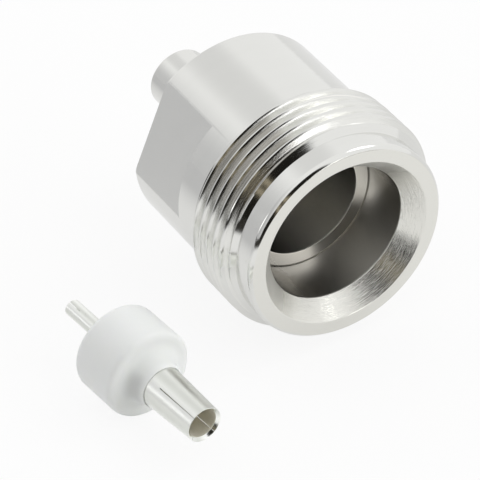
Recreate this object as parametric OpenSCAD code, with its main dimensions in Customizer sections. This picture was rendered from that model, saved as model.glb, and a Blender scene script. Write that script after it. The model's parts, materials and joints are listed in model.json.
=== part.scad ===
// Straight coaxial jack for soldering to semi-rigid cable, shown unassembled:
// the turned body lies on its side, and beside it lies its insert, a white
// insulator bead with the centre contact pushed through it.
// Millimetres, +Z up. The axis of the body runs along Y with the mouth towards -Y.
// The origin is on that axis at the flat step at the bottom of the mating bore.

/* [Outside of the body] */
// Diameter over the crests of the coupling thread
thread_d = 20; // [19:0.1:24]
// Length of the threaded part, between the feet of its two end chamfers
thread_length = 6.11; // [4:0.01:9]
// Pitch of the thread, which also sets the size of its grooves
thread_pitch = 1; // [0.75:0.05:1.5]
// Diameter of the plain nose in front of the thread
nose_d = 18; // [16.5:0.1:18.8]
// Length of the nose, from the front face to the thread
nose_length = 2.15; // [1:0.05:5]
// Chamfer round the front edge of the nose
nose_chamfer = 0.3; // [0.05:0.05:0.6]
// Diameter of the plain barrel behind the thread
barrel_d = 18.2; // [17:0.1:18.8]
// Length of the barrel, from the thread to the rear face
barrel_length = 9.8; // [8:0.1:16]
// Chamfer round the rear edge of the barrel
barrel_chamfer = 0.15; // [0.05:0.05:0.6]
// Distance across the two wrench flats
flat_across = 16; // [15:0.1:17]
// Length of the wrench flats, measured from the rear face
flat_length = 7.15; // [4:0.05:7.5]
// Angle of the flats round the axis, from the horizontal
flat_turn = -22; // [-50:1:50]

/* [Cable stub] */
// Outer diameter of the stub that takes the cable
stub_d = 5.45; // [4.6:0.05:7]
// Length of the stub behind the rear face
stub_length = 8.45; // [4:0.05:14]
// Chamfer round the end of the stub, outside and inside
stub_chamfer = 0.2; // [0.05:0.05:0.3]
// Diameter of the semi-rigid cable that is soldered in
cable_d = 3.58; // [2.2:0.01:3.7]
// Gap all round the cable for the solder
solder_gap = 0.035; // [0.02:0.005:0.1]

/* [Bores of the body] */
// Diameter of the mouth at the front face
mouth_d = 15.14; // [13.5:0.01:15.8]
// Depth of the conical lead-in behind the mouth
mouth_depth = 1.66; // [0.5:0.01:3]
// Diameter of the mating bore
mating_bore_d = 12.3; // [10.6:0.1:13]
// Depth of the mating bore's flat step below the front face
mating_bore_depth = 6.31; // [4:0.01:8]
// Diameter of the inner bore that surrounds the socket
inner_bore_d = 9.8; // [8.6:0.1:10.4]
// Wall left between the seat of the insulator and the rear face
back_wall = 0.9; // [0.6:0.05:2]

/* [Insulator] */
// Diameter of the insulator bead
bead_d = 7.8; // [6:0.1:8.4]
// Length of the insulator bead
bead_length = 4.85; // [3:0.05:6]
// Rounding of the bead's two outer edges
bead_round = 0.55; // [0.1:0.05:0.8]
// Thickness of the lip behind the contact's shank
bead_lip = 0.6; // [0.3:0.05:1.5]
// Gap all round between the bead and its seat in the body
seat_gap = 0.02; // [0.01:0.005:0.1]
// Gap all round between the contact and the bead
contact_gap = 0.02; // [0.01:0.005:0.1]

/* [Centre contact] */
// Diameter of the socket at its root, against the bead
socket_root_d = 3.75; // [3.1:0.05:5]
// Diameter of the socket at its tip
socket_tip_d = 3.1; // [2.9:0.05:4.5]
// Length of the socket in front of the bead
socket_length = 7.2; // [6.5:0.1:12]
// Diameter of the socket's bore
socket_bore_d = 2.5; // [1.6:0.05:2.6]
// Depth of the socket's bore
socket_bore_depth = 6; // [3:0.1:6.2]
// Width of the flat rim that the lead-in chamfer leaves at the socket's tip
socket_rim = 0.05; // [0.02:0.01:0.15]
// Number of slots that part the spring fingers
slot_count = 4; // [2:1:6]
// Width of each slot
slot_width = 0.08; // [0.06:0.01:0.3]
// Length of each slot, from the tip of the socket
slot_length = 4.3; // [2:0.1:6]
// Diameter of the shank inside the bead
shank_d = 2.4; // [1.8:0.05:3]
// Diameter of the solder pin behind the bead
pin_d = 1.42; // [1.3:0.01:1.7]
// Length of the solder pin behind the bead
pin_length = 5.8; // [4:0.1:10]
// Bore of the solder cup in the end of the pin
cup_d = 1; // [0.8:0.01:1.1]
// Depth of the solder cup
cup_depth = 3; // [2.6:0.1:3.8]
// Length of the slot in the cup's wall that lets solder in, from the end of the pin
cup_slot_length = 1.45; // [0.8:0.05:2.5]
// Width of that slot
cup_slot_width = 0.1; // [0.06:0.01:0.3]
// Direction of that slot round the pin, from the horizontal
cup_slot_turn = 110; // [0:5:180]

/* [Where the insert lies] */
// Clear space between the thread and the bead
insert_space = 4.1; // [1:0.1:20]
// How far the bead's front lies behind the body's front face
insert_setback = 0.36; // [-10:0.01:10]
// Turn of the insert on the surface, towards the body
insert_turn = 5.7; // [-10:0.1:10]

/* [Hidden] */
$fn = 96;

// How far a cutting shape reaches past the surface that it cuts
past = 1;
// Straight pieces that make up each rounded edge of the bead
round_steps = 6;
// Angle between the first slot of the socket and the horizontal
first_slot = 39.5;
// Free length left behind the shank, so that only the socket's root seats
shank_relief = 0.05;
// Depth and flat root of a thread groove, as shares of the pitch
groove_share = 0.61;
root_share = 0.125;
// Angle between a flank of the thread and the plane across the axis
flank_angle = 30;

thread_r = thread_d / 2;
nose_r = nose_d / 2;
barrel_r = barrel_d / 2;
stub_r = stub_d / 2;
mouth_r = mouth_d / 2;
mating_r = mating_bore_d / 2;
inner_r = inner_bore_d / 2;
cable_r = cable_d / 2 + solder_gap;
bead_r = bead_d / 2;
seat_r = bead_r + seat_gap;

// Places along the axis, as depths below the front face
thread_start = nose_length;
thread_end = thread_start + thread_length;
rear_face = thread_end + barrel_length;
stub_end = rear_face + stub_length;
seat_floor = rear_face - back_wall;
seat_front = seat_floor - bead_length;

// Both ends of the thread are chamfered at 45 degrees
front_rise = thread_r - nose_r;
rear_rise = thread_r - barrel_r;

// The grooves of the thread stand as plain rings, as many as fit between the chamfers
crest_start = thread_start + front_rise;
crest_end = thread_end - rear_rise;
groove_depth = groove_share * thread_pitch;
groove_root = root_share * thread_pitch;
groove_mouth = groove_root + 2 * groove_depth * tan(flank_angle);
groove_count = floor((crest_end - crest_start) / thread_pitch);
first_groove = (crest_start + crest_end - (groove_count - 1) * thread_pitch) / 2;
root_r = thread_r - groove_depth;

// The lead-in takes up what the rim leaves of the wall at the socket's tip
socket_lead = (socket_tip_d - socket_bore_d) / 2 - socket_rim;

// The insert lies on the same surface as the thread's lowest line
insert_x = -(thread_r + insert_space + bead_r);
insert_y = insert_setback - mating_bore_depth;
insert_z = bead_r - thread_r;

// Section of one thread groove, about its middle
function groove_section(middle) = [
    [thread_r, middle - groove_mouth / 2],
    [root_r, middle - groove_root / 2],
    [root_r, middle + groove_root / 2],
    [thread_r, middle + groove_mouth / 2]
];

// Half section of the body: radius, and depth below the front face
function body_section() = [
    [mouth_r, 0],
    [nose_r - nose_chamfer, 0],
    [nose_r, nose_chamfer],
    [nose_r, thread_start],
    [thread_r, crest_start],
    for (groove = [0 : 1 : groove_count - 1])
        each groove_section(first_groove + groove * thread_pitch),
    [thread_r, crest_end],
    [barrel_r, thread_end],
    [barrel_r, rear_face - barrel_chamfer],
    [barrel_r - barrel_chamfer, rear_face],
    [stub_r, rear_face],
    [stub_r, stub_end - stub_chamfer],
    [stub_r - stub_chamfer, stub_end],
    [cable_r + stub_chamfer, stub_end],
    [cable_r, stub_end - stub_chamfer],
    [cable_r, seat_floor],
    [seat_r, seat_floor],
    [seat_r, seat_front],
    [inner_r, seat_front],
    [inner_r, mating_bore_depth],
    [mating_r, mating_bore_depth],
    [mating_r, mouth_depth]
];

// Quarter round of the bead's outer edge, about a centre, from one angle over 90 degrees
function edge_round(centre_r, centre_z, from) = [
    for (step = [0 : round_steps])
        let (angle = from + 90 * step / round_steps)
            [centre_r + bead_round * cos(angle), centre_z + bead_round * sin(angle)]
];

// Half section of the bead: radius, and height along its axis from its front face
function bead_section() = concat(
    [[shank_d / 2 + contact_gap, 0], [shank_d / 2 + contact_gap, bead_lip - bead_length]],
    [[pin_d / 2 + contact_gap, bead_lip - bead_length], [pin_d / 2 + contact_gap, -bead_length]],
    edge_round(bead_r - bead_round, bead_round - bead_length, -90),
    edge_round(bead_r - bead_round, -bead_round, 0)
);

// Half section of the contact without its slots
function contact_section() = [
    [0, socket_length - socket_bore_depth],
    [socket_bore_d / 2, socket_length - socket_bore_depth],
    [socket_bore_d / 2, socket_length - socket_lead],
    [socket_bore_d / 2 + socket_lead, socket_length],
    [socket_tip_d / 2, socket_length],
    [socket_root_d / 2, 0],
    [shank_d / 2, 0],
    [shank_d / 2, bead_lip + shank_relief - bead_length],
    [pin_d / 2, bead_lip + shank_relief - bead_length],
    [pin_d / 2, -bead_length - pin_length],
    [cup_d / 2, -bead_length - pin_length],
    [cup_d / 2, cup_depth - bead_length - pin_length],
    [0, cup_depth - bead_length - pin_length]
];

// Lays the body down: depth below the front face becomes distance along +Y
module lay_body() {
    translate([0, -mating_bore_depth, 0])
        rotate([-90, 0, 0])
            children();
}

// Lays the insert down beside the body, with its socket towards the mouth's side
module lay_insert() {
    translate([insert_x, insert_y, insert_z])
        rotate([0, 0, insert_turn])
            rotate([90, 0, 0])
                children();
}

// One wrench flat: the block that is milled off outside the flat
module flat_cut() {
    depth = barrel_r - flat_across / 2 + past;
    translate([flat_across / 2, -barrel_r - past, rear_face - flat_length])
        cube([depth, barrel_d + 2 * past, flat_length + past]);
}

// One slot between two spring fingers, from the axis outwards
module slot_cut() {
    translate([0, -slot_width / 2, socket_length - slot_length])
        cube([socket_root_d, slot_width, slot_length + past]);
}

// The slot in the wall of the solder cup, from the axis outwards
module cup_slot_cut() {
    translate([0, -cup_slot_width / 2, -bead_length - pin_length - past])
        cube([pin_d, cup_slot_width, cup_slot_length + past]);
}

module connector_body() {
    color([0.83, 0.83, 0.81])
        lay_body()
            difference() {
                rotate_extrude()
                    polygon(body_section());
                for (side = [0, 180])
                    rotate([0, 0, side - flat_turn])
                        flat_cut();
            }
}

module insulator() {
    color([0.95, 0.95, 0.94])
        lay_insert()
            rotate_extrude()
                polygon(bead_section());
}

module centre_contact() {
    color([0.87, 0.86, 0.82])
        lay_insert()
            difference() {
                rotate_extrude()
                    polygon(contact_section());
                for (slot = [0 : slot_count - 1])
                    rotate([0, 0, first_slot + 360 * slot / slot_count])
                        slot_cut();
                rotate([0, 0, cup_slot_turn])
                    cup_slot_cut();
            }
}

connector_body();
insulator();
centre_contact();
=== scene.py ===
# %% [markdown]
# # A coaxial jack and its loose insert
# The part is a straight jack for high-frequency cable, shown before it is put together.
# A turned and plated brass body lies on its side, and beside it lies the insert: a white
# fluoropolymer bead with the silver-plated centre contact pushed through it.
# The CAD model is loaded as a fixed frame, in metres, and each piece here replaces its CAD node
# in the same place, so nothing has to be fitted by eye.

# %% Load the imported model
import json
import math

import bmesh
import bpy
import numpy as np
from mathutils import Matrix, Vector

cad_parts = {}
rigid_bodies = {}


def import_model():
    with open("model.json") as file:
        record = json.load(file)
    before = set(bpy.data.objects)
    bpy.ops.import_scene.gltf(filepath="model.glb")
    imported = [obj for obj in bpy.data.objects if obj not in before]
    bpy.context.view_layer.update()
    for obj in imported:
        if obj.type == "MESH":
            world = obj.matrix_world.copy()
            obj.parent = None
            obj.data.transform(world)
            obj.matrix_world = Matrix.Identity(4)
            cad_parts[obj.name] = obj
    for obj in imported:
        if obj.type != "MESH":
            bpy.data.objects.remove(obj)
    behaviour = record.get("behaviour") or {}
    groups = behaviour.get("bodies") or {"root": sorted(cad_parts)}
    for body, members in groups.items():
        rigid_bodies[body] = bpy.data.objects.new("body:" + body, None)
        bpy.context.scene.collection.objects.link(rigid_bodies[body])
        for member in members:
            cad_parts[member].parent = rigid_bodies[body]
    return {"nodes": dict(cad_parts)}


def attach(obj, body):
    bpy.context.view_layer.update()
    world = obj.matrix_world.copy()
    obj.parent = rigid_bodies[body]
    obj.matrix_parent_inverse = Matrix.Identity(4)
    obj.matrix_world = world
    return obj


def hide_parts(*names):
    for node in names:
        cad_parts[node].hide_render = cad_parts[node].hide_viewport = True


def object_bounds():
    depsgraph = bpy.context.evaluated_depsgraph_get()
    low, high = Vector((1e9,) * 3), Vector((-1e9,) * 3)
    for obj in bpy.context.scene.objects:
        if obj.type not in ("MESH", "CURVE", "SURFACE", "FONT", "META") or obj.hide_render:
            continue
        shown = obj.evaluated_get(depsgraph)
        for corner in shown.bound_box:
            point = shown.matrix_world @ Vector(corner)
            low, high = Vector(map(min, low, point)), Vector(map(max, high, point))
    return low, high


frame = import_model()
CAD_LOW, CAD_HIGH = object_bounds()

MM = 0.001
scene = bpy.context.scene
print("CAD nodes:", sorted(frame["nodes"]))
print("CAD box in mm:", [round(v / MM, 2) for v in CAD_HIGH - CAD_LOW])

# %% [markdown]
# ## The camera
# The picture was taken from above the front left, from a long way off with a long lens, which
# keeps the two ends of the body almost the same size. A camera can be placed by hand, but here
# its angles and distance come from the ellipses of the mouth, the step and the bead.
# The frame is 480 pixels wide, and one pixel covers 1/3500 of the distance.

# %% Camera
TURN, RISE = math.radians(-31.31), math.radians(38.56)
SENSOR_WIDTH, PIXELS_WIDE, PIXELS_PER_UNIT = 36, 480, 3500
AIM = Vector((0, -6.15, 0)) * MM
AIM_SEEN = Vector((8.411, -0.201, -278.031)) * MM

back = Vector((math.sin(TURN) * math.cos(RISE), -math.cos(TURN) * math.cos(RISE), math.sin(RISE)))
right = Vector((math.cos(TURN), math.sin(TURN), 0))
up = back.cross(right)
axes = Matrix((right, up, back)).transposed()

camera_data = bpy.data.cameras.new("camera")
camera_data.sensor_width = SENSOR_WIDTH
camera_data.lens = SENSOR_WIDTH * PIXELS_PER_UNIT / PIXELS_WIDE
camera_data.clip_start, camera_data.clip_end = 0.01, 20
camera = bpy.data.objects.new("camera", camera_data)
scene.collection.objects.link(camera)
camera.matrix_world = Matrix.Translation(AIM - axes @ AIM_SEEN) @ axes.to_4x4()
scene.camera = camera
print("camera at mm:", [round(v / MM, 1) for v in camera.matrix_world.translation])

# %% [markdown]
# ## Turning on a lathe
# Every piece of this part comes off a lathe, so every mesh starts as a profile of radius and
# depth that is spun round an axis. A Screw modifier could spin it, but spinning the points in
# numpy leaves room for what a modifier can't do: the helix of the thread and the milled flats.
# Real edges are never razor sharp, so each corner can be eased by a short curve that catches light.
# A long face next to such a curve gets one more ring close to it. Without that ring, the smooth
# shading of the curve would spread over the whole face and bend its reflections.

# %% Profiles with eased corners
HOLD, HOLD_FROM = 0.03, 1.0


def eased(corners, steps=4):
    """Turns (radius, depth, ease) corners into (radius, depth) points with eased corners."""
    points = []
    for i, (radius, depth, ease) in enumerate(corners):
        here = np.array((radius, depth))
        if not ease or i in (0, len(corners) - 1):
            points.append(here)
            continue
        before = np.array(corners[i - 1][:2]) - here
        after = np.array(corners[i + 1][:2]) - here
        start = here + before / np.linalg.norm(before) * ease
        end = here + after / np.linalg.norm(after) * ease
        if np.linalg.norm(before) > HOLD_FROM:
            points.append(start + before / np.linalg.norm(before) * HOLD)
        for t in np.linspace(0, 1, steps):
            points.append((1 - t) ** 2 * start + 2 * t * (1 - t) * here + t * t * end)
        if np.linalg.norm(after) > HOLD_FROM:
            points.append(end + after / np.linalg.norm(after) * HOLD)
    return np.array(points)


def spun(radius, depth, angle):
    """Points in metres from radius and depth in mm, and angle, as arrays that fit together."""
    x, y, z = np.broadcast_arrays(radius * np.cos(angle), radius * np.sin(angle), depth)
    return np.stack([x, y, z], -1) * MM


print("profile helpers: eased corners, with holding rings beside faces over", HOLD_FROM, "mm")

# %% Meshes from spun points
MERGE_WITHIN, NO_LENGTH = 1.5e-6, 1e-7
SMOOTH_BELOW = 30


def mesh_object(name, points, faces, smooth_below=SMOOTH_BELOW):
    """A clean mesh piece: doubles merged, normals outwards, edges sharp where they really are."""
    mesh = bpy.data.meshes.new(name)
    mesh.from_pydata(points.reshape(-1, 3).tolist(), [], faces)
    work = bmesh.new()
    work.from_mesh(mesh)
    bmesh.ops.remove_doubles(work, verts=work.verts, dist=MERGE_WITHIN)
    bmesh.ops.dissolve_degenerate(work, edges=work.edges, dist=NO_LENGTH)
    bmesh.ops.recalc_face_normals(work, faces=work.faces)
    work.to_mesh(mesh)
    work.free()
    mesh.shade_smooth()
    mesh.set_sharp_from_angle(angle=math.radians(smooth_below))
    piece = bpy.data.objects.new(name, mesh)
    scene.collection.objects.link(piece)
    return piece


def ring_faces(rows, columns, closed=False):
    """Quads between successive rings of a spun grid."""
    faces = []
    for row in range(rows if closed else rows - 1):
        below, above = row * columns, (row + 1) % rows * columns
        for column in range(columns):
            beside = (column + 1) % columns
            faces.append((below + column, below + beside, above + beside, above + column))
    return faces


print("mesh helpers: points within", MERGE_WITHIN / MM, "mm are merged")

# %% [markdown]
# ## The body
# The body is turned from brass bar: a nose, a coupling thread of 20 mm with 1 mm pitch, a plain
# barrel with two milled wrench flats, and a thin stub that takes the cable. Inside are a conical
# mouth, the mating bore with its flat step, the inner bore and the seat of the bead.
# Sizes are those of the CAD source, with eased edges and a fine relief groove at the step added.

# %% Profile of the body in mm
THREAD_R, NOSE_R, BARREL_R, STUB_R = 10, 9, 9.1, 2.725
MOUTH_R, BORE_R, INNER_R, SEAT_R, CABLE_R = 7.57, 6.15, 4.9, 3.92, 1.825
THREAD_START, THREAD_END = 2.15, 8.26
CONE_DEPTH, STEP_DEPTH, SEAT_FRONT, SEAT_FLOOR = 1.66, 6.31, 12.31, 17.16
REAR_FACE, STUB_END = 18.06, 26.51
FLAT_HALF, FLAT_START, FLAT_ANGLE = 8, 10.91, math.radians(22)
NOSE_CHAMFER, BARREL_CHAMFER, STUB_CHAMFER = 0.3, 0.15, 0.2
RELIEF = 0.09

rear_and_bores = eased([
    (BARREL_R, FLAT_START, 0),
    (BARREL_R, REAR_FACE - BARREL_CHAMFER, 0.06),
    (BARREL_R - BARREL_CHAMFER, REAR_FACE, 0.06),
    (STUB_R, REAR_FACE, 0.12),
    (STUB_R, STUB_END - STUB_CHAMFER, 0.06),
    (STUB_R - STUB_CHAMFER, STUB_END, 0.06),
    (CABLE_R + STUB_CHAMFER, STUB_END, 0.05),
    (CABLE_R, STUB_END - STUB_CHAMFER, 0.05),
    (CABLE_R, SEAT_FLOOR, 0),
    (SEAT_R, SEAT_FLOOR, 0),
    (SEAT_R, SEAT_FRONT, 0.06),
    (INNER_R, SEAT_FRONT, 0),
    (INNER_R, STEP_DEPTH, 0.1),
    (BORE_R - RELIEF, STEP_DEPTH, 0.02),
    (BORE_R - RELIEF, STEP_DEPTH + RELIEF, 0),
    (BORE_R, STEP_DEPTH + RELIEF, 0),
    (BORE_R, CONE_DEPTH, 0.08),
    (MOUTH_R, 0, 0.06),
    (NOSE_R - NOSE_CHAMFER, 0, 0.06),
    (NOSE_R, NOSE_CHAMFER, 0.2),
    (NOSE_R, THREAD_START, 0),
])
print("rings behind the flats' wall, through the bores to the nose:", len(rear_and_bores))

# %% [markdown]
# ### The wrench flats
# On the real body the flats are milled after turning. A Boolean could cut them, but they can also
# be had with no cutting tool: on the rings behind their front wall, the radius is held back to the
# plane of the flat. The columns of points that lie on a flat's edges are added to the even ones,
# so that those edges come out straight.

# %% Columns and rings with flats
EVEN_COLUMNS, CLEAR_OF_EDGE = 240, 0.006

flat_edges = [math.acos(FLAT_HALF / radius) for radius in (BARREL_R, BARREL_R - BARREL_CHAMFER)]
special = [
    (FLAT_ANGLE + half_turn + side * edge) % math.tau
    for half_turn in (0, math.pi) for side in (1, -1) for edge in flat_edges
]
even = np.linspace(0, math.tau, EVEN_COLUMNS, endpoint=False)
clear = [a for a in even if min(abs(a - s) for s in special) > CLEAR_OF_EDGE]
angles = np.array(sorted(clear + special))
columns = len(angles)

flat_limit = FLAT_HALF / np.maximum(np.abs(np.cos(angles - FLAT_ANGLE)), 0.5)
barrel_front = np.array([(BARREL_R, THREAD_END), (BARREL_R, FLAT_START)])
plain = np.concatenate([barrel_front, rear_and_bores])
ring_radius = np.repeat(plain[:, :1], columns, 1)
ring_depth = np.repeat(plain[:, 1:], columns, 1)
held_back = np.where(plain[2:, 1:] >= FLAT_START, flat_limit, np.inf)
ring_radius[2:] = np.minimum(ring_radius[2:], held_back)
print("columns round the body:", columns)

# %% [markdown]
# ### The coupling thread
# The thread is a helix, so its rows can't be plain rings: each row climbs by one pitch in a turn
# and meets the row one pitch further on at the seam. Rows outside the threaded length are pressed
# onto its two ends, where they merge, and the 45 degree end chamfers cut the crests away.

# %% Rows of the thread
PITCH, THREAD_DEPTH, FIRST_CREST = 1.0, 0.61, 0.46
TURNS_BEFORE, SPARE_TURNS = 3, 4
# One pitch of the thread: place along the pitch, and height from root to crest
THREAD_FORM = [
    (-0.055, 1), (0.055, 1), (0.085, 0.95), (0.17, 0.71), (0.25, 0.48), (0.33, 0.26), (0.405, 0.05),
    (0.45, 0), (0.55, 0), (0.595, 0.05), (0.67, 0.26), (0.75, 0.48), (0.83, 0.71), (0.915, 0.95),
]

turns = math.ceil((THREAD_END - THREAD_START) / PITCH) + SPARE_TURNS
rise = np.array([turn + place for turn in range(turns) for place, _ in THREAD_FORM])
height = np.array([h for _ in range(turns) for _, h in THREAD_FORM])
first_depth = THREAD_START - (TURNS_BEFORE - FIRST_CREST) * PITCH
thread_depth = first_depth + PITCH * (rise[:, None] + angles[None] / math.tau)
thread_depth = np.clip(thread_depth, THREAD_START, THREAD_END)
thread_radius = THREAD_R - THREAD_DEPTH * (1 - height[:, None])
front_chamfer = NOSE_R + thread_depth - THREAD_START
rear_chamfer = BARREL_R + THREAD_END - thread_depth
thread_radius = np.minimum(thread_radius, np.minimum(front_chamfer, rear_chamfer))
print("rows of the thread:", len(rise))

# %% Body mesh
BODY_SMOOTH_BELOW = 32
FRONT = Vector((0, -STEP_DEPTH, 0)) * MM

body_radius = np.concatenate([ring_radius, thread_radius])
body_depth = np.concatenate([ring_depth, thread_depth])
body_points = spun(body_radius, body_depth, angles[None])
body_faces = ring_faces(len(plain), columns)
first_row = len(plain)
for row in range(len(rise) - 1):
    for column in range(columns):
        jump = 0 if column + 1 < columns else len(THREAD_FORM)
        if row + 1 + jump >= len(rise):
            continue
        here = (first_row + row) * columns + column
        beside = (first_row + row + jump) * columns + (column + 1) % columns
        body_faces.append((here, beside, beside + columns, here + columns))
body = mesh_object("jack_body", body_points, body_faces, smooth_below=BODY_SMOOTH_BELOW)
body.matrix_world = Matrix.Translation(FRONT) @ Matrix.Rotation(math.radians(-90), 4, "X")
print("body faces:", len(body.data.polygons))

# %% [markdown]
# ## The bead
# The bead is a short turned cylinder of white fluoropolymer. It holds the contact in the middle
# of the body. A plain cylinder with a Bevel modifier would do for the outside, but the same
# profile can also give it the stepped hole that the contact's shank sits in, and the thin collar
# that runs a little way up the root of the socket. The collar flares at its foot and so flows
# into the bead's front face. The insert lies on its bead, at the height of the thread's underside.

# %% Bead
INSERT_LEFT, INSERT_BACK, INSERT_TURN = -18, 0.36, math.radians(5.7)
BEAD_R, BEAD_LENGTH, BEAD_EASE = 3.9, 4.85, 0.6
SHANK_R, PIN_R, CONTACT_GAP, BEAD_LIP = 1.2, 0.71, 0.02, 0.6
COLLAR_LENGTH, COLLAR_ROOT_R, COLLAR_TIP_R = 1.7, 1.89, 1.82
COLLAR_OUTER_R, COLLAR_FOOT_R, COLLAR_FLARE = 1.89, 2.35, 0.85
INSERT_COLUMNS = 160

insert_spot = Vector((INSERT_LEFT, INSERT_BACK - STEP_DEPTH, BEAD_R - THREAD_R)) * MM
insert_place = (
    Matrix.Translation(insert_spot) @ Matrix.Rotation(INSERT_TURN, 4, "Z")
    @ Matrix.Rotation(math.radians(90), 4, "X")
)
bead_profile = eased([
    (SHANK_R + CONTACT_GAP, BEAD_LIP - BEAD_LENGTH, 0),
    (SHANK_R + CONTACT_GAP, 0, 0),
    (COLLAR_ROOT_R, 0, 0),
    (COLLAR_TIP_R, COLLAR_LENGTH, 0.02),
    (COLLAR_OUTER_R, COLLAR_LENGTH, 0.05),
    (COLLAR_FOOT_R, 0, COLLAR_FLARE),
    (BEAD_R, 0, BEAD_EASE),
    (BEAD_R, -BEAD_LENGTH, BEAD_EASE),
    (PIN_R + CONTACT_GAP, -BEAD_LENGTH, 0.06),
    (PIN_R + CONTACT_GAP, BEAD_LIP - BEAD_LENGTH, 0),
], steps=9)
turn_angles = np.linspace(0, math.tau, INSERT_COLUMNS, endpoint=False)
bead_points = spun(bead_profile[:, :1], bead_profile[:, 1:], turn_angles[None])
bead_faces = ring_faces(len(bead_profile), INSERT_COLUMNS, closed=True)
bead = mesh_object("insulator_bead", bead_points, bead_faces)
bead.matrix_world = insert_place
print("bead faces:", len(bead.data.polygons))

# %% [markdown]
# ## The centre contact
# The contact is one turned pin. Its thick end is a socket that four saw cuts part into spring
# fingers, closed in a little so that they grip the mating pin. Its thin end is a cup for the
# cable's centre wire, with a fine slot in its wall so that solder can be fed in.
# The turned form is spun like the others, and the slots are cut out of it afterwards.

# %% Contact before the cuts
SOCKET_LENGTH, SOCKET_DEPTH, SOCKET_LEAD_IN = 7.2, 6, 0.25
SOCKET_BORE_R, SOCKET_MOUTH_R, SOCKET_TIP_R, SOCKET_ROOT_R = 1.25, 1.5, 1.55, 1.875
SHANK_END = BEAD_LIP + 0.05 - BEAD_LENGTH
PIN_END = -BEAD_LENGTH - 5.8
CUP_R, CUP_DEPTH = 0.5, 3

contact_profile = eased([
    (0, SOCKET_LENGTH - SOCKET_DEPTH, 0),
    (SOCKET_BORE_R, SOCKET_LENGTH - SOCKET_DEPTH, 0.05),
    (SOCKET_BORE_R, SOCKET_LENGTH - SOCKET_LEAD_IN, 0.05),
    (SOCKET_MOUTH_R, SOCKET_LENGTH, 0.02),
    (SOCKET_TIP_R, SOCKET_LENGTH, 0.02),
    (SOCKET_ROOT_R, CONTACT_GAP, 0.05),
    (SHANK_R, CONTACT_GAP, 0),
    (SHANK_R, SHANK_END, 0),
    (PIN_R, SHANK_END, 0),
    (PIN_R, PIN_END, 0.06),
    (CUP_R, PIN_END, 0.04),
    (CUP_R, PIN_END + CUP_DEPTH, 0),
    (0, PIN_END + CUP_DEPTH, 0),
])
contact_points = spun(contact_profile[:, :1], contact_profile[:, 1:], turn_angles[None])
contact_faces = ring_faces(len(contact_profile), INSERT_COLUMNS)
contact = mesh_object("centre_pin", contact_points, contact_faces)
print("contact faces before the cuts:", len(contact.data.polygons))

# %% [markdown]
# ### The saw cuts
# A slot could be faked by a dark line, but it shows from every side and in the metal's
# reflections, so each one is a real cut. A flat block stands in for the saw, a Boolean modifier
# takes it away, and the result is kept as the contact's mesh. The socket's four blocks narrow
# towards the tip, because the fingers are closed in.

# %% Cuts in the contact
SLOT_LENGTH, SLOT_ROOT_WIDTH, SLOT_TIP_WIDTH = 4.3, 0.08, 0.03
SLOT_TURNS = (39.5, 129.5, 219.5, 309.5)
CUP_SLOT_LENGTH, CUP_SLOT_WIDTH, CUP_SLOT_TURN = 1.45, 0.1, 110
CUT_REACH, CUT_PAST_END = 3, 0.1


def saw_cut(name, ends, widths, turn):
    """A flat block from the contact's axis outwards, between two places along that axis."""
    corners = [
        (x, side * width / 2, z)
        for x in (0, CUT_REACH) for z, width in zip(ends, widths) for side in (-1, 1)
    ]
    faces = [(2, 3, 1, 0), (5, 7, 6, 4), (1, 5, 4, 0), (6, 7, 3, 2), (4, 6, 2, 0), (3, 7, 5, 1)]
    turned = Matrix.Rotation(math.radians(turn), 3, "Z")
    block = bpy.data.meshes.new(name)
    block.from_pydata([turned @ Vector(corner) * MM for corner in corners], [], faces)
    cutter = bpy.data.objects.new(name, block)
    scene.collection.objects.link(cutter)
    return cutter


slot_ends = (SOCKET_LENGTH - SLOT_LENGTH, SOCKET_LENGTH + CUT_PAST_END)
slot_widths = (SLOT_ROOT_WIDTH, SLOT_TIP_WIDTH)
cutters = [saw_cut("slot", slot_ends, slot_widths, turn) for turn in SLOT_TURNS]
cup_slot_ends = (PIN_END - CUT_PAST_END, PIN_END + CUP_SLOT_LENGTH)
cutters.append(saw_cut("cup_slot", cup_slot_ends, (CUP_SLOT_WIDTH, CUP_SLOT_WIDTH), CUP_SLOT_TURN))
for cutter in cutters:
    cut = contact.modifiers.new(cutter.name, "BOOLEAN")
    cut.operation, cut.solver, cut.object = "DIFFERENCE", "EXACT", cutter
bpy.context.view_layer.update()
evaluated = contact.evaluated_get(bpy.context.evaluated_depsgraph_get())
cut_mesh = bpy.data.meshes.new_from_object(evaluated)
contact.modifiers.clear()
contact.data = cut_mesh
cut_mesh.shade_smooth()
cut_mesh.set_sharp_from_angle(angle=math.radians(SMOOTH_BELOW))
for cutter in cutters:
    bpy.data.objects.remove(cutter)
contact.matrix_world = insert_place
print("contact faces:", len(contact.data.polygons))

# %% [markdown]
# ## Nodes in few words
# A finish is a tree of small nodes. They can be wired by hand in the shader editor. In a script a
# few helpers keep that readable: one adds any node, one a sum or product, and one a group.

# %% Node helpers
def add(tree, kind, inputs=None, **settings):
    """Adds a node, sets its properties, and fills its inputs with values or links."""
    made = tree.nodes.new(kind)
    for key, value in settings.items():
        setattr(made, key, value)
    for key, value in (inputs or {}).items():
        if isinstance(value, bpy.types.NodeSocket):
            tree.links.new(value, made.inputs[key])
        else:
            made.inputs[key].default_value = value
    return made


def math_node(tree, operation, *values):
    return add(tree, "ShaderNodeMath", dict(enumerate(values)), operation=operation).outputs[0]


def new_group(name, inputs, outputs):
    """A shader node group with named sockets, and its input and output nodes."""
    tree = bpy.data.node_groups.new(name, "ShaderNodeTree")
    for title, kind in inputs:
        tree.interface.new_socket(title, in_out="INPUT", socket_type=kind)
    for title in outputs:
        tree.interface.new_socket(title, in_out="OUTPUT", socket_type="NodeSocketFloat")
    return tree, tree.nodes.new("NodeGroupInput"), tree.nodes.new("NodeGroupOutput")


print("node helpers: nodes, sums and groups")

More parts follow.
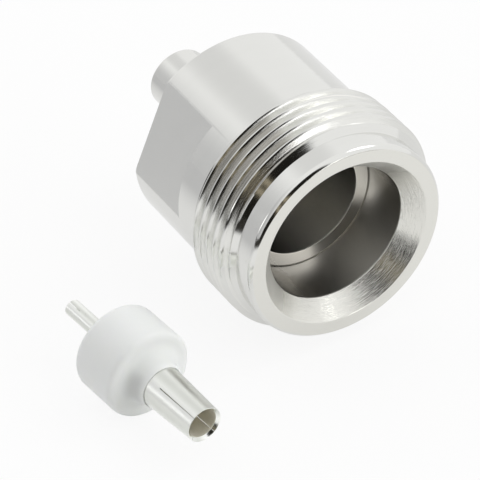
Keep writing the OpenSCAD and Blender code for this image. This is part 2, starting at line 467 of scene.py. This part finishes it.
# %% [markdown]
# ## Marks of the lathe, shared by every finish
# A turned face carries fine concentric lines, closer than the eye can count, that streak its
# reflections. They could be painted on a picture, but a noise that runs along the profile and
# hardly changes round the axis gives them at any size. All three finishes use them, so they are
# one node group. It takes a place in the piece's own lathe frame, where Z is the axis.

# %% Group of turning lines
LINES_BY_RADIUS, LINES_BY_DEPTH = 1.8, 0.7

lines_group, given, result = new_group(
    "turning_lines",
    [("Place", "NodeSocketVector"), ("Spacing", "NodeSocketFloat")],
    ["Height", "Bands", "Scratches"],
)
parts = add(lines_group, "ShaderNodeSeparateXYZ", {0: given.outputs["Place"]}).outputs
squares = [math_node(lines_group, "MULTIPLY", part, part) for part in (parts[0], parts[1])]
off_axis = math_node(lines_group, "SQRT", math_node(lines_group, "ADD", *squares))
by_depth = math_node(lines_group, "MULTIPLY", parts[2], LINES_BY_DEPTH)
along = math_node(lines_group, "MULTIPLY_ADD", off_axis, LINES_BY_RADIUS, by_depth)
count = math_node(lines_group, "DIVIDE", along, given.outputs["Spacing"])
round_x = math_node(lines_group, "DIVIDE", parts[0], off_axis)
round_y = math_node(lines_group, "DIVIDE", parts[1], off_axis)
for output, closeness, drift in (("Height", 1, 0.35), ("Bands", 0.14, 0.8), ("Scratches", 3.0, 5)):
    where = add(lines_group, "ShaderNodeCombineXYZ", {
        0: math_node(lines_group, "MULTIPLY", count, closeness),
        1: math_node(lines_group, "MULTIPLY", round_x, drift),
        2: math_node(lines_group, "MULTIPLY", round_y, drift),
    })
    noise = add(lines_group, "ShaderNodeTexNoise",
                {"Vector": where.outputs[0], "Scale": 1, "Detail": 3, "Roughness": 0.6})
    lines_group.links.new(noise.outputs["Fac"], result.inputs[output])
print("group:", lines_group.name, [s.name for s in lines_group.interface.items_tree])

# %% [markdown]
# ## Soft clouds
# No surface is even: handling and the plating bath leave soft clouds in the gloss of the metals,
# and the white of the bead varies a little. A noise in all directions gives that. The same group
# at a tiny size is the grain of the milled flats and of the satin silver.

# %% Group of soft clouds
cloud_group, given, result = new_group(
    "soft_clouds",
    [("Place", "NodeSocketVector"), ("Size", "NodeSocketFloat")],
    ["Clouds"],
)
closer = math_node(cloud_group, "DIVIDE", 1.0, given.outputs["Size"])
spread = add(cloud_group, "ShaderNodeVectorMath",
             {0: given.outputs["Place"], "Scale": closer}, operation="SCALE")
noise = add(cloud_group, "ShaderNodeTexNoise",
            {"Vector": spread.outputs[0], "Scale": 1, "Detail": 4, "Roughness": 0.55})
cloud_group.links.new(noise.outputs["Fac"], result.inputs["Clouds"])
print("group:", cloud_group.name, [s.name for s in cloud_group.interface.items_tree])

# %% [markdown]
# ## Where a point lies on its piece
# Bores, grooves, flats and painted shade each need a mask. Faces could be picked by hand and given
# materials of their own, but then no mask could fade. This group measures the place instead, in
# millimetres: the distance from the axis, the depth along it, the angle round it, and for a chosen
# angle how far the point lies that way, also as a share of its distance from the axis.

# %% Group of places on the lathe
def along_axis(tree, vector, axis):
    dot = add(tree, "ShaderNodeVectorMath", {0: vector, 1: axis}, operation="DOT_PRODUCT")
    return dot.outputs["Value"]


lathe_group, given, result = new_group(
    "lathe_place",
    [("Place", "NodeSocketVector"), ("Angle", "NodeSocketFloat")],
    ["Radius", "Depth", "Turn", "Across", "Share"],
)
in_mm = add(lathe_group, "ShaderNodeVectorMath",
            {0: given.outputs["Place"], "Scale": 1 / MM}, operation="SCALE").outputs[0]
parts = add(lathe_group, "ShaderNodeSeparateXYZ", {0: in_mm}).outputs
flatwise = add(lathe_group, "ShaderNodeCombineXYZ", {0: parts[0], 1: parts[1]}).outputs[0]
off_axis = add(lathe_group, "ShaderNodeVectorMath", {0: flatwise}, operation="LENGTH").outputs["Value"]
chosen_way = add(lathe_group, "ShaderNodeCombineXYZ", {
    0: math_node(lathe_group, "COSINE", given.outputs["Angle"]),
    1: math_node(lathe_group, "SINE", given.outputs["Angle"]),
}).outputs[0]
across = along_axis(lathe_group, in_mm, chosen_way)
for output, value in (
    ("Radius", off_axis),
    ("Depth", parts[2]),
    ("Turn", math_node(lathe_group, "ARCTAN2", parts[1], parts[0])),
    ("Across", across),
    ("Share", math_node(lathe_group, "DIVIDE", across, off_axis)),
):
    lathe_group.links.new(value, result.inputs[output])
print("group:", lathe_group.name, [s.name for s in lathe_group.interface.items_tree])

# %% [markdown]
# ## Plated body
# The plating is a bright silver-white alloy over brass. Its base colour is nearly neutral, and
# most of what is seen is the studio mirrored in it. First come the masks for the parts of the body
# that look different: the flats, the bores and their step, the mouth's cone, and the thread's
# grooves, all found by their place on the piece.

# %% Masks of the body
LIT_ANGLE, PAINTED_SHADE_ANGLE = math.radians(50), math.radians(-131)
PAST_FACE, PAST_SEAT, JUST_INSIDE = 0.05, 0.5, 0.02
CREST_CLEAR, GROOVE_FULL, ROOT_CLEAR, RUN_OUT = 0.03, 0.2, 0.04, 0.8
FLAT_WITHIN, STEP_WITHIN = 0.004, 0.01


def new_finish(name):
    finish = bpy.data.materials.new(name)
    finish.use_nodes = True
    tree = finish.node_tree
    place = add(tree, "ShaderNodeTexCoord").outputs["Object"]
    return finish, tree, tree.nodes["Principled BSDF"], place


def use_group(tree, group, **inputs):
    return add(tree, "ShaderNodeGroup", inputs, node_tree=group).outputs


def both(tree, *masks):
    """What lies in every one of the masks: their product."""
    shared = masks[0]
    for mask in masks[1:]:
        shared = math_node(tree, "MULTIPLY", shared, mask)
    return shared


def ramp(tree, value, low, high, first=0.0, last=1.0, kind="LINEAR"):
    """Goes from first to last while the value goes from low to high, and stays there."""
    spans = {0: value, 1: low, 2: high, 3: first, 4: last}
    return add(tree, "ShaderNodeMapRange", spans, interpolation_type=kind).outputs[0]


def above(tree, value, limit):
    return math_node(tree, "GREATER_THAN", value, limit)


def below(tree, value, limit):
    return math_node(tree, "LESS_THAN", value, limit)


plated, tree, shader, place = new_finish("plated_brass")
lit = use_group(tree, lathe_group, Place=place, Angle=LIT_ANGLE)
radius, depth, lit_share = lit["Radius"], lit["Depth"], lit["Share"]
painted_shade_share = use_group(tree, lathe_group, Place=place, Angle=PAINTED_SHADE_ANGLE)["Share"]
from_axis = use_group(tree, lathe_group, Place=place, Angle=FLAT_ANGLE)["Across"]

on_plane = math_node(tree, "COMPARE", math_node(tree, "ABSOLUTE", from_axis), FLAT_HALF, FLAT_WITHIN)
flat_mask = both(tree, on_plane, above(tree, depth, FLAT_START))
in_bores = both(tree, below(tree, radius, BORE_R + PAST_FACE), above(tree, depth, CONE_DEPTH - PAST_FACE))
bore_mask = both(tree, in_bores, below(tree, depth, SEAT_FLOOR + PAST_SEAT))
inner_mask = both(tree, below(tree, radius, INNER_R + PAST_FACE), bore_mask)
step_mask = math_node(tree, "COMPARE", depth, STEP_DEPTH, STEP_WITHIN)
in_mouth = below(tree, depth, CONE_DEPTH + PAST_FACE)
cone_mask = both(tree, below(tree, radius, MOUTH_R - JUST_INSIDE), in_mouth)
face_mask = both(tree, below(tree, radius, NOSE_R - NOSE_CHAMFER + JUST_INSIDE), in_mouth)

chamfer_line = math_node(tree, "ADD", depth, NOSE_R - THREAD_START)
behind_chamfer = above(tree, math_node(tree, "SUBTRACT", chamfer_line, radius), JUST_INSIDE)
below_crest = ramp(tree, radius, THREAD_R - CREST_CLEAR, THREAD_R - GROOVE_FULL)
above_root = above(tree, radius, THREAD_R - THREAD_DEPTH - ROOT_CLEAR)
before_end = below(tree, depth, THREAD_END - RUN_OUT)
groove_mask = both(tree, behind_chamfer, before_end, below_crest, above_root)
print("masks of the body:", len(tree.nodes), "nodes")

# %% [markdown]
# ### Colours of the plating
# The bores are painted darker than the rest, a painted shade, apart from painted light on one side
# of the mating bore and on two facing sides of the inner one. The step is painted bright but for a
# painted dark reflection. On one side the thread's grooves are darkened by painted shade, streaked
# along the turning lines.

# %% Colours of the body
PLATE_TONES = (0.75, 0.75, 0.725), (0.785, 0.785, 0.76)
FACE_TONE, GROOVE_TONE = (0.77, 0.765, 0.72), (0.80, 0.80, 0.77)
BORE_PAINTED_TONES = (0.24, 0.233, 0.217), (1.0, 0.98, 0.93)
INNER_PAINTED_TONES = (0.05, 0.049, 0.045), (1.0, 0.985, 0.93)
STEP_PAINTED_TONES = (1.0, 0.98, 0.93), (0.27, 0.264, 0.25)
GROOVE_SHADE_TONES = (0.44, 0.43, 0.40), (0.84, 0.83, 0.80)
PAINTED_LIGHT_FALLOFF, PAINTED_DARK_SPAN, PAINTED_SHADE_SPAN, LINE_STREAKS = 2.5, (0.80, 0.94), (0.895, 0.96), (0.36, 0.64)


def smooth_step(tree, value, low, high):
    return ramp(tree, value, low, high, kind="SMOOTHSTEP")


def blend_colour(tree, mask, first, second):
    """Mixes two colours by a mask. A colour is a socket, or red, green and blue."""
    ends = [end if isinstance(end, bpy.types.NodeSocket) else (*end, 1) for end in (first, second)]
    mix = add(tree, "ShaderNodeMix", {0: mask, 6: ends[0], 7: ends[1]}, data_type="RGBA")
    return mix.outputs[2]


lines = use_group(tree, lines_group, Place=place, Spacing=0.14 * MM)
# Painted light and shade in the bores and on the step: lighter on one side, dark elsewhere.
painted_light_one_side = math_node(tree, "POWER", math_node(tree, "MAXIMUM", lit_share, 0.0), PAINTED_LIGHT_FALLOFF)
painted_light_two_sides = math_node(tree, "POWER", math_node(tree, "ABSOLUTE", lit_share), PAINTED_LIGHT_FALLOFF)
painted_dark_reflection = smooth_step(tree, lit_share, *PAINTED_DARK_SPAN)
# Painted shade: darker thread grooves on one side, streaked along the turning lines.
groove_painted_shade = both(tree, groove_mask, smooth_step(tree, painted_shade_share, *PAINTED_SHADE_SPAN))
streaked = ramp(tree, lines["Height"], *LINE_STREAKS)

plate = blend_colour(tree, lines["Bands"], *PLATE_TONES)
for mask, tone in (
    (face_mask, FACE_TONE),
    (bore_mask, blend_colour(tree, painted_light_one_side, *BORE_PAINTED_TONES)),
    (inner_mask, blend_colour(tree, painted_light_two_sides, *INNER_PAINTED_TONES)),
    (step_mask, blend_colour(tree, painted_dark_reflection, *STEP_PAINTED_TONES)),
    (groove_mask, GROOVE_TONE),
    (groove_painted_shade, blend_colour(tree, streaked, *GROOVE_SHADE_TONES)),
):
    plate = blend_colour(tree, mask, plate, tone)
tree.links.new(plate, shader.inputs["Base Color"])
print("colours of the body:", len(tree.nodes), "nodes")

# %% [markdown]
# ### Gloss and relief of the plating
# The turned faces are almost mirrors. The milled flats are rougher and grainy instead of lined,
# the bores are rougher too, and the mouth's cone is rougher on the side away from the one painted light.
# Coarser scratches run round the cone and in the grooves. All of it is too fine for the mesh, so
# one Bump node takes the sum of the reliefs.

# %% Gloss and relief of the body
CONE_SCRATCHES, GROOVE_SCRATCHES, FLAT_GRAIN = 4.5, 1.3, 3.0

clouds = use_group(tree, cloud_group, Place=place, Size=3 * MM)["Clouds"]
bore_rough = math_node(tree, "MULTIPLY_ADD", painted_light_one_side, 0.3, 0.13)
rough = math_node(tree, "MULTIPLY_ADD", clouds, 0.08, 0.07)
for mask, extra in (
    (flat_mask, 0.14),
    (bore_mask, bore_rough),
    (step_mask, math_node(tree, "MULTIPLY", bore_rough, -1.0)),
    (inner_mask, 0.25),
    (cone_mask, ramp(tree, lit_share, 0.1, -0.3, 0.05, 0.38)),
    (groove_mask, 0.08),
):
    rough = math_node(tree, "MULTIPLY_ADD", mask, extra, rough)
tree.links.new(rough, shader.inputs["Roughness"])

relief = both(tree, lines["Height"], math_node(tree, "SUBTRACT", 1.0, flat_mask))
groove_scratched = math_node(tree, "MULTIPLY", groove_mask, GROOVE_SCRATCHES)
scratched = math_node(tree, "MULTIPLY_ADD", cone_mask, CONE_SCRATCHES, groove_scratched)
relief = math_node(tree, "MULTIPLY_ADD", lines["Scratches"], scratched, relief)
grain = use_group(tree, cloud_group, Place=place, Size=0.15 * MM)["Clouds"]
grainy = math_node(tree, "MULTIPLY", flat_mask, FLAT_GRAIN)
relief = math_node(tree, "MULTIPLY_ADD", grain, grainy, relief)
bump = add(tree, "ShaderNodeBump", {"Height": relief, "Strength": 0.6, "Distance": 0.009 * MM})
tree.links.new(bump.outputs[0], shader.inputs["Normal"])
shader.inputs["Metallic"].default_value = 1
body.data.materials.append(plated)
print("finish:", plated.name, len(tree.nodes), "nodes")

# %% [markdown]
# ## Silver-plated contact
# The contact is plated with silver, which is warmer than the body and has a satin gloss. Lighter
# lengthwise bands are painted into its colour round the axis: painted reflections. The inside of the
# socket is painted paler and warmer, a painted light that lifts its shade; it is much rougher, and its
# lead-in shines.

# %% Finish of the contact
PAINTED_BAND_COUNT, FIRST_PAINTED_BAND = 5, math.radians(65)
SILVER_TONES = (0.72, 0.735, 0.69), (0.76, 0.775, 0.73)
PAINTED_REFLECTION_TONE, INSIDE_PAINTED_TONE = (0.975, 0.985, 0.95), (0.94, 0.92, 0.84)
SILVER_GRAIN, PAST_WALL, SOCKET_FROM = 1.5, 0.01, 0.5

silver, tree, shader, place = new_finish("silver_plate")
lines = use_group(tree, lines_group, Place=place, Spacing=0.10 * MM)
clouds = use_group(tree, cloud_group, Place=place, Size=1.2 * MM)["Clouds"]
spot = use_group(tree, lathe_group, Place=place)
in_socket = below(tree, spot["Radius"], SOCKET_BORE_R + 2 * PAST_WALL)
inside = both(tree, in_socket, above(tree, spot["Depth"], SOCKET_FROM))
at_tip = above(tree, spot["Depth"], SOCKET_LENGTH - SOCKET_LEAD_IN + PAST_WALL)
lead_in = both(tree, at_tip, below(tree, spot["Radius"], SOCKET_MOUTH_R + PAST_WALL))

# Painted reflections: lighter lengthwise bands round the axis.
from_painted_band = math_node(tree, "SUBTRACT", spot["Turn"], FIRST_PAINTED_BAND)
wave = math_node(tree, "COSINE", math_node(tree, "MULTIPLY", from_painted_band, PAINTED_BAND_COUNT))
painted_reflection_bands = math_node(tree, "MULTIPLY_ADD", wave, 0.5, 0.5)
plate = blend_colour(tree, lines["Bands"], *SILVER_TONES)
plate = blend_colour(tree, painted_reflection_bands, plate, PAINTED_REFLECTION_TONE)
# Painted light: the inside of the socket paler and warmer than the outside.
plate = blend_colour(tree, inside, plate, INSIDE_PAINTED_TONE)
tree.links.new(plate, shader.inputs["Base Color"])

rough = math_node(tree, "MULTIPLY_ADD", clouds, 0.12, 0.24)
for mask, extra in ((inside, 0.45), (lead_in, -0.12)):
    rough = math_node(tree, "MULTIPLY_ADD", mask, extra, rough)
tree.links.new(rough, shader.inputs["Roughness"])
grain = use_group(tree, cloud_group, Place=place, Size=0.12 * MM)["Clouds"]
relief = math_node(tree, "MULTIPLY_ADD", grain, SILVER_GRAIN, lines["Height"])
bump = add(tree, "ShaderNodeBump", {"Height": relief, "Strength": 0.6, "Distance": 0.008 * MM})
tree.links.new(bump.outputs[0], shader.inputs["Normal"])
shader.inputs["Metallic"].default_value = 1
contact.data.materials.append(silver)
print("finish:", silver.name, len(tree.nodes), "nodes")

# %% [markdown]
# ## White fluoropolymer
# The bead is soft, waxy and white. A little light goes into it and comes out again, which
# washes out its shading, and the lathe leaves only faint rings on it. Round the root of the socket
# a soft mask paints it a little greyer, most of all on the left: a painted shadow of the socket.

# %% Finish of the bead
WHITE_TONES, PAINTED_SHADOW_TONE = ((0.885, 0.91, 0.89), (0.915, 0.935, 0.915)), (0.70, 0.71, 0.70)
PAINTED_SHADOW_ANGLE, PAINTED_SHADOW_SIDE, ALL_ROUND = math.radians(172), (0.7, 0.98), 0.3
ROOT_FADE, LIP_FADE, FACE_FROM = (2.9, 2.1), (1.8, 0.9), -0.5

polymer, tree, shader, place = new_finish("white_fluoropolymer")
lines = use_group(tree, lines_group, Place=place, Spacing=0.3 * MM)
clouds = use_group(tree, cloud_group, Place=place, Size=2 * MM)["Clouds"]
spot = use_group(tree, lathe_group, Place=place, Angle=PAINTED_SHADOW_ANGLE)
# Painted shadow of the socket: greyer round its root, most of all on the left.
on_side = smooth_step(tree, spot["Share"], *PAINTED_SHADOW_SIDE)
greyness = math_node(tree, "MULTIPLY_ADD", on_side, 1 - ALL_ROUND, ALL_ROUND)
near_root = smooth_step(tree, spot["Radius"], *ROOT_FADE)
in_front = above(tree, spot["Depth"], FACE_FROM)
behind_lip = smooth_step(tree, spot["Depth"], *LIP_FADE)
painted_shadow = both(tree, greyness, near_root, in_front, behind_lip)
white = blend_colour(tree, clouds, *WHITE_TONES)
tree.links.new(blend_colour(tree, painted_shadow, white, PAINTED_SHADOW_TONE), shader.inputs["Base Color"])
rough = math_node(tree, "MULTIPLY_ADD", lines["Bands"], 0.1, 0.5)
tree.links.new(rough, shader.inputs["Roughness"])
bump = add(tree, "ShaderNodeBump",
           {"Height": lines["Height"], "Strength": 0.3, "Distance": 0.006 * MM})
tree.links.new(bump.outputs[0], shader.inputs["Normal"])
shader.inputs["Subsurface Weight"].default_value = 1
shader.inputs["Subsurface Radius"].default_value = (1.0, 1.0, 0.95)
shader.inputs["Subsurface Scale"].default_value = 0.1 * MM
bead.data.materials.append(polymer)
print("finish:", polymer.name, len(tree.nodes), "nodes")

# %% [markdown]
# ## The pieces join the frame
# Each piece rides on the part's one body and takes the place of its CAD node.

# %% Ride and replace
for piece, node, slot in (
    (body, "connector_body", "plated_body"),
    (bead, "insulator", "insulator"),
    (contact, "centre_contact", "contact"),
):
    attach(piece, "root")
    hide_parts(node)
    print(piece.name, "stands for", node)

# %% [markdown]
# ## The studio
# Bright metal is photographed inside a white tent, and what is seen on it is mostly that tent.
# Cards round the part could be mirrored, but their edges would show, so the tent is painted on
# the world by direction: white all round, greyer on the left and high behind, and with two bright
# windows, one high on the right and a smaller, lower one on the left.

# %% The tent
# Azimuth and elevation of the middle, inner and outer half angles in degrees, and brightness
TENT_TONES = (
    (-104, 8, 12, 56, (0.56, 0.56, 0.57)),
    (178, 50, 3, 22, (0.84, 0.84, 0.84)),
    (85, 50, 7, 15, (3, 3, 3)),
    (-121, 11, 2, 11, (1.6, 1.6, 1.6)),
)


def towards(turn, rise):
    """Unit vector from the part, by azimuth from the front and by elevation, in degrees."""
    turn, rise = math.radians(turn), math.radians(rise)
    return Vector((math.sin(turn) * math.cos(rise), -math.cos(turn) * math.cos(rise), math.sin(rise)))


world = bpy.data.worlds.new("white_tent")
world.use_nodes = True
scene.world = world
scene.view_settings.view_transform = "Standard"
tree = world.node_tree
way = add(tree, "ShaderNodeTexCoord").outputs["Generated"]
tent = (1, 1, 1)
for turn, rise, inner, outer, tone in TENT_TONES:
    near = along_axis(tree, way, towards(turn, rise))
    soft = smooth_step(tree, near, math.cos(math.radians(outer)), math.cos(math.radians(inner)))
    tent = blend_colour(tree, soft, tent, tone)
print("tent: soft tones painted by direction:", len(TENT_TONES))

# %% [markdown]
# ### The opening of the tent
# The photographer looks in through a slit, and the room outside is dark. Faces that look back
# that way mirror it, which draws the dark bands on the nose, the thread and the cone. The slit is
# an oval in directions, longer one way, and a brown stand with a dark gap shows in it.

# %% Opening
OPENING, OPENING_TOP, OPENING_FOOT = towards(-25, 19), towards(-3, 44), towards(-50, -3)
LONG_HALF, SHORT_HALF, OPENING_EDGE = 0.63, 0.50, (1.07, 0.94)
STAND, STAND_EDGE, STAND_GAP = towards(-36.8, 23.6), (0.13, 0.09), (0.015, 0.05)
ROOM_TONE, STAND_TONE = (0.012, 0.011, 0.009), (0.42, 0.37, 0.27)

across_way = OPENING.cross(OPENING_TOP - OPENING_FOOT).normalized()
long_way = across_way.cross(OPENING)
long_part = along_axis(tree, way, long_way)
spread_long = math_node(tree, "DIVIDE", long_part, LONG_HALF)
spread_short = math_node(tree, "DIVIDE", along_axis(tree, way, across_way), SHORT_HALF)
squares = [math_node(tree, "MULTIPLY", spread, spread) for spread in (spread_long, spread_short)]
from_middle = math_node(tree, "SQRT", math_node(tree, "ADD", *squares))
this_side = above(tree, along_axis(tree, way, OPENING), 0.0)
opening = both(tree, smooth_step(tree, from_middle, *OPENING_EDGE), this_side)

past_stand = math_node(tree, "SUBTRACT", long_part, STAND.dot(long_way))
from_stand = math_node(tree, "ABSOLUTE", past_stand)
within_edge = smooth_step(tree, from_stand, *STAND_EDGE)
beside_gap = smooth_step(tree, from_stand, *STAND_GAP)
dark_room = blend_colour(tree, both(tree, within_edge, beside_gap), ROOM_TONE, STAND_TONE)
tent = blend_colour(tree, opening, tent, dark_room)
tree.links.new(tent, tree.nodes["Background"].inputs["Color"])
tree.nodes["Background"].inputs["Strength"].default_value = 1
print("opening towards:", [round(v, 2) for v in OPENING])

# %% [markdown]
# ## The floor
# The part lies on white paper. For the camera the paper is nearly plain white, with a trace of the
# shadow left. What the metal mirrors lies out of the picture: painted shade greys the paper on the far
# left and a little on the right, and far in front a painted dark band stands for the dark room. Light
# Path tells the camera's rays from the others, so the picture's own background stays white.

# %% Floor
FLOOR_SIDE = 4
PAPER_TONE, PAPER_GLOW = (0.95, 0.95, 0.95), 1.05
SEEN_GLOW, MIRRORED_GLOW = 0.88, 0.5
# Painted shade on the paper: direction on the floor, the distances in mm between which the tone comes in,
# and the tone
PAINTED_PAPER_SHADE = (
    ((-0.7, 0.7, 0), 14, 60, (0.62, 0.62, 0.63)),
    ((-0.55, -0.83, 0), 58, 80, (0.03, 0.028, 0.024)),
    ((0.8, 0.6, 0), 6, 30, (0.86, 0.86, 0.86)),
)

floor_mesh = bpy.data.meshes.new("floor")
half = FLOOR_SIDE / 2
floor_corners = [(-half, -half, 0), (half, -half, 0), (half, half, 0), (-half, half, 0)]
floor_mesh.from_pydata(floor_corners, [], [(0, 1, 2, 3)])
floor = bpy.data.objects.new("floor", floor_mesh)
scene.collection.objects.link(floor)
floor.matrix_world = Matrix.Translation((0, 0, CAD_LOW.z))

paper = bpy.data.materials.new("white_paper")
paper.use_nodes = True
tree = paper.node_tree
tree.nodes.clear()
rays = add(tree, "ShaderNodeLightPath").outputs
mirrored = math_node(tree, "MAXIMUM", rays["Is Glossy Ray"], rays["Is Transmission Ray"])
seen = math_node(tree, "MULTIPLY", rays["Is Camera Ray"], SEEN_GLOW)
glowing = math_node(tree, "MULTIPLY_ADD", mirrored, MIRRORED_GLOW, seen)
spot = add(tree, "ShaderNodeTexCoord").outputs["Object"]
tone = PAPER_TONE
# Painted shade and a painted dark band on the paper, seen only in reflections.
for direction, start, end, painted_shade_tone in PAINTED_PAPER_SHADE:
    far = smooth_step(tree, along_axis(tree, spot, direction), start * MM, end * MM)
    tone = blend_colour(tree, far, tone, painted_shade_tone)
tone = blend_colour(tree, rays["Is Camera Ray"], tone, PAPER_TONE)
matt = add(tree, "ShaderNodeBsdfDiffuse", {"Color": tone})
glow = add(tree, "ShaderNodeEmission", {"Color": tone, "Strength": PAPER_GLOW})
mixed = add(tree, "ShaderNodeMixShader", {0: glowing, 1: matt.outputs[0], 2: glow.outputs[0]})
add(tree, "ShaderNodeOutputMaterial", {0: mixed.outputs[0]})
floor.data.materials.append(paper)
print("floor at mm:", round(CAD_LOW.z / MM, 3))

# %% [markdown]
# ## The lamps
# The tent gives most of the light. A small softbox in front adds the short bright glints on the
# metal, and a wide fill from the front right models the white bead. The fill could be a card, but
# the metal would mirror it, so it is a lamp that reflections don't show.

# %% Lamps
def area_lamp(name, size, energy, turn, rise, distance):
    """A square lamp at that direction and distance, which shines on the part."""
    data = bpy.data.lights.new(name, "AREA")
    data.shape, data.size, data.energy = "SQUARE", size, energy
    lamp = bpy.data.objects.new(name, data)
    scene.collection.objects.link(lamp)
    way = towards(turn, rise)
    facing = way.to_track_quat("Z", "Y").to_matrix().to_4x4()
    lamp.matrix_world = Matrix.Translation(way * distance) @ facing
    return lamp


area_lamp("softbox", size=0.19, energy=0.18, turn=14, rise=17, distance=0.6)
fill = area_lamp("front_fill", size=0.4, energy=0.85, turn=35, rise=12, distance=0.7)
fill.visible_glossy = False
